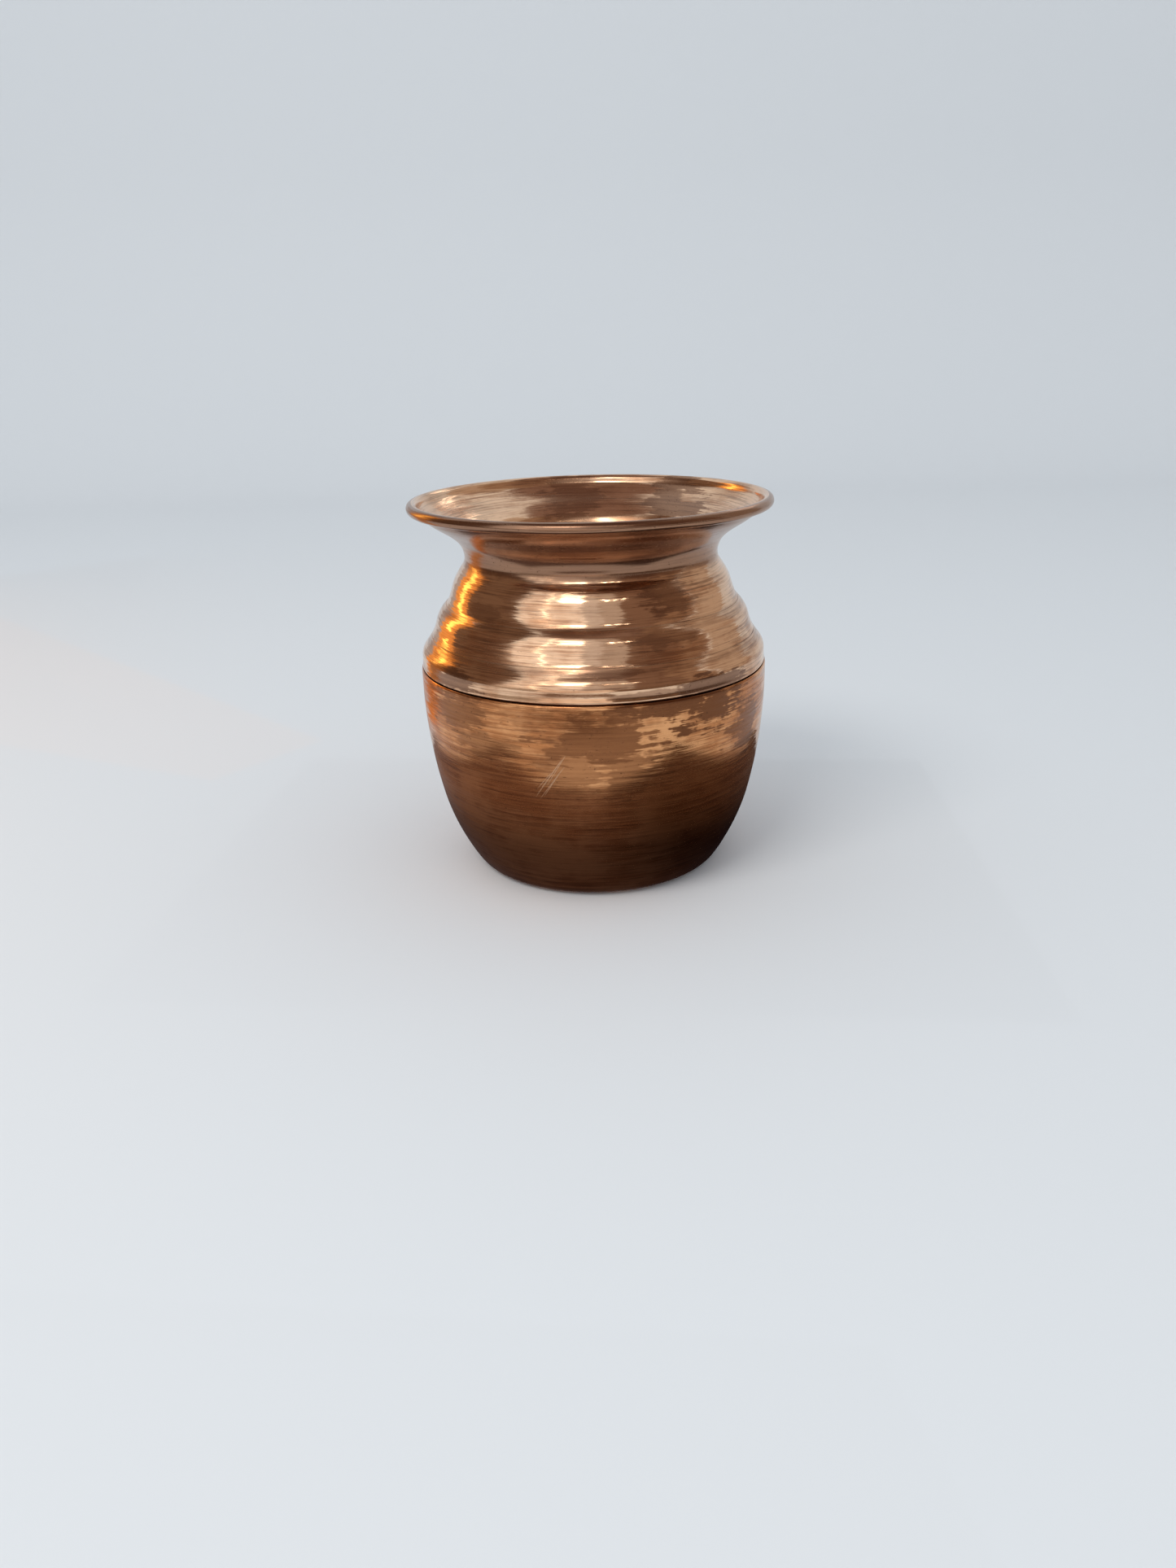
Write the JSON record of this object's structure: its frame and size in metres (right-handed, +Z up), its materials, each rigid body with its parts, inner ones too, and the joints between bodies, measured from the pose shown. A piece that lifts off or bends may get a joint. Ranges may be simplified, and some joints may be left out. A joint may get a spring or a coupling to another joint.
{
  "type": "kalash pot",
  "caption": "Open-mouthed spun copper water pot with a rolled flared rim, a waisted neck, a ribbed shoulder and a deep rounded belly, free standing.",
  "frame": {"origin": "centre of the base, on the surface the pot stands on", "axes": "+Z up along the axis the pot was turned on"},
  "size_m": [0.113, 0.113, 0.1176],
  "materials": {
    "polished_copper": "polished copper with fine turned lines and brown tarnish",
    "brushed_copper": "turned satin copper, duller than the shoulder, with brown tarnish",
    "filler_brass": "matt filler metal",
    "wire_copper": "drawn copper wire"
  },
  "bodies": {
    "root": {"upper_shell": "polished_copper", "lower_shell": "brushed_copper", "seam_filler": "filler_brass", "rim_wire": "wire_copper"}
  },
  "joints": []
}
